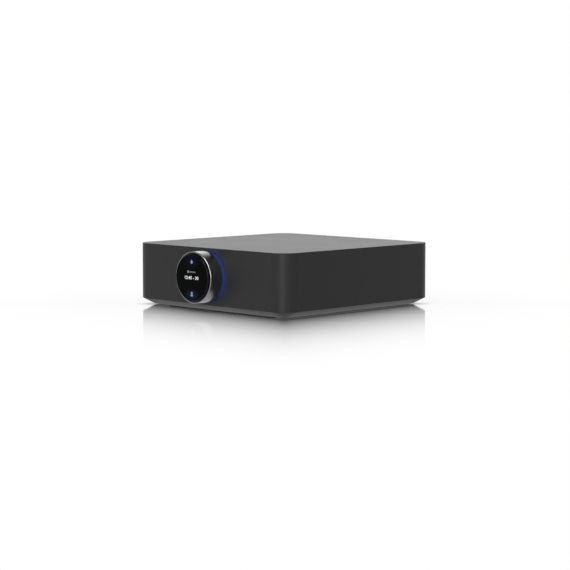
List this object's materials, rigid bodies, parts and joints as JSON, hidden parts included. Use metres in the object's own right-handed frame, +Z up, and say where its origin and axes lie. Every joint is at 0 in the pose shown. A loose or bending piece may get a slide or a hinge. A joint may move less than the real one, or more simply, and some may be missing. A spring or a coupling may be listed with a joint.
{
  "type": "streaming amplifier",
  "caption": "Low square amplifier with round corners, a turning ring round a fixed round display on the front, and a sunk tray of mains, signal and speaker sockets at the back.",
  "frame": {"origin": "on the table, under the middle of the case", "axes": "+X across the case, +Y from the dial at the front to the sockets at the back, +Z up"},
  "size_m": [0.217, 0.2368, 0.0637],
  "materials": {
    "case_metal": "fine bead-blasted, dark grey",
    "base_metal": "fine bead-blasted, dark grey",
    "foot_rubber": "matte black",
    "ring_metal": "fine turned, dark grey",
    "bearing_plastic": "plain moulded",
    "magnet_ferrite": "bonded ferrite",
    "cover_glass": "black, polished",
    "display_black": "polished",
    "carrier_plastic": "fine moulded texture",
    "nut_metal": "plain",
    "guide_plastic": "frosted clear",
    "led_plastic": "white",
    "cable_film": "amber film",
    "ribbon_vinyl": "grey vinyl",
    "circuit_board": "solder mask",
    "chip_black": "moulded",
    "cooler_metal": "plain extruded",
    "shield_metal": "tin plated",
    "tray_plastic": "fine moulded texture",
    "inlet_plastic": "moulded",
    "pin_metal": "nickel plated",
    "jack_metal": "tin plated",
    "gold_contact": "gold plated",
    "socket_plastic": "moulded",
    "shutter_plastic": "moulded",
    "cap_black": "moulded",
    "cap_red": "moulded",
    "ferrite_grey": "sintered",
    "capacitor_red": "dipped",
    "capacitor_sleeve": "shrink sleeve"
  },
  "bodies": {
    "case": {"amplifier_board": "circuit_board", "amplifier_chips": "chip_black", "amplifier_cooler": "cooler_metal", "antennas": "circuit_board", "base_pan": "base_metal", "bulk_capacitor": "capacitor_sleeve", "case_shell": "case_metal", "dial_mount": "carrier_plastic", "display_cable": "cable_film", "display_carrier": "carrier_plastic", "display_glass": "cover_glass", "display_panel": "display_black", "encoder_board": "circuit_board", "ethernet_contacts": "gold_contact", "ethernet_jack": "jack_metal", "feet": "foot_rubber", "film_capacitors": "capacitor_red", "hdmi_port": "jack_metal", "hdmi_tongue": "socket_plastic", "inlet_pins": "pin_metal", "led_board": "circuit_board", "light_guide": "guide_plastic", "main_board": "circuit_board", "main_chips": "chip_black", "main_cooler": "cooler_metal", "mains_choke": "ferrite_grey", "optical_jack": "socket_plastic", "output_inductors": "ferrite_grey", "post_block": "socket_plastic", "post_board": "circuit_board", "post_studs": "gold_contact", "power_board": "circuit_board", "power_heatsinks": "cooler_metal", "power_inlet": "inlet_plastic", "power_transformer": "ferrite_grey", "rca_block": "socket_plastic", "rca_shells": "gold_contact", "rear_panel": "tray_plastic", "reset_switch": "carrier_plastic", "ring_leds": "led_plastic", "shield_can": "shield_metal", "stem_nut": "nut_metal", "supply_ribbon": "ribbon_vinyl"},
    "dial": {"dial_ring": "ring_metal", "dial_bush": "bearing_plastic", "encoder_magnet": "magnet_ferrite"},
    "shutter": {"optical_shutter": "shutter_plastic"},
    "reset": {"reset_button": "carrier_plastic"},
    "left_minus_follower": {"left_minus_washer": "gold_contact"},
    "left_minus_grip": {"left_minus_cap": "cap_black"},
    "left_plus_follower": {"left_plus_washer": "gold_contact"},
    "left_plus_grip": {"left_plus_cap": "cap_red"},
    "right_minus_follower": {"right_minus_washer": "gold_contact"},
    "right_minus_grip": {"right_minus_cap": "cap_black"},
    "right_plus_follower": {"right_plus_washer": "gold_contact"},
    "right_plus_grip": {"right_plus_cap": "cap_red"}
  },
  "joints": [
    {"name": "dial_turn", "type": "hinge", "parent": "case", "child": "dial", "pos_m": [0, -0.11905, 0.0354], "axis": [0, -1, 0], "continuous": true},
    {"name": "shutter_swing", "type": "hinge", "parent": "case", "child": "shutter", "pos_m": [0.00195, 0.08895, 0.02445], "axis": [-1, 0, 0], "range_deg": [0, 90], "stiffness_Nm_per_rad": 0.001},
    {"name": "reset_press", "type": "slide", "parent": "case", "child": "reset", "axis": [0, -1, 0], "range_m": [0, 0.0005], "stiffness_N_per_m": 500, "springref_m": -0.0004},
    {"name": "left_minus_travel", "type": "slide", "parent": "case", "child": "left_minus_follower", "axis": [0, 1, 0], "range_m": [0, 0.00375]},
    {"name": "left_minus_turn", "type": "hinge", "parent": "left_minus_follower", "child": "left_minus_grip", "pos_m": [0.05319, 0.0995, 0.02488], "axis": [0, 1, 0], "range_deg": [0, 1081]},
    {"name": "left_plus_travel", "type": "slide", "parent": "case", "child": "left_plus_follower", "axis": [0, 1, 0], "range_m": [0, 0.00375]},
    {"name": "left_plus_turn", "type": "hinge", "parent": "left_plus_follower", "child": "left_plus_grip", "pos_m": [0.05319, 0.0995, 0.04392], "axis": [0, 1, 0], "range_deg": [0, 1081]},
    {"name": "right_minus_travel", "type": "slide", "parent": "case", "child": "right_minus_follower", "axis": [0, 1, 0], "range_m": [0, 0.00375]},
    {"name": "right_minus_turn", "type": "hinge", "parent": "right_minus_follower", "child": "right_minus_grip", "pos_m": [0.07224, 0.0995, 0.02488], "axis": [0, 1, 0], "range_deg": [0, 1081]},
    {"name": "right_plus_travel", "type": "slide", "parent": "case", "child": "right_plus_follower", "axis": [0, 1, 0], "range_m": [0, 0.00375]},
    {"name": "right_plus_turn", "type": "hinge", "parent": "right_plus_follower", "child": "right_plus_grip", "pos_m": [0.07224, 0.0995, 0.04392], "axis": [0, 1, 0], "range_deg": [0, 1081]}
  ],
  "couplings": [
    {"joint": "left_minus_turn", "follows": "left_minus_travel", "rad_per_m": 5026.5},
    {"joint": "left_plus_turn", "follows": "left_plus_travel", "rad_per_m": 5026.5},
    {"joint": "right_minus_turn", "follows": "right_minus_travel", "rad_per_m": 5026.5},
    {"joint": "right_plus_turn", "follows": "right_plus_travel", "rad_per_m": 5026.5}
  ]
}
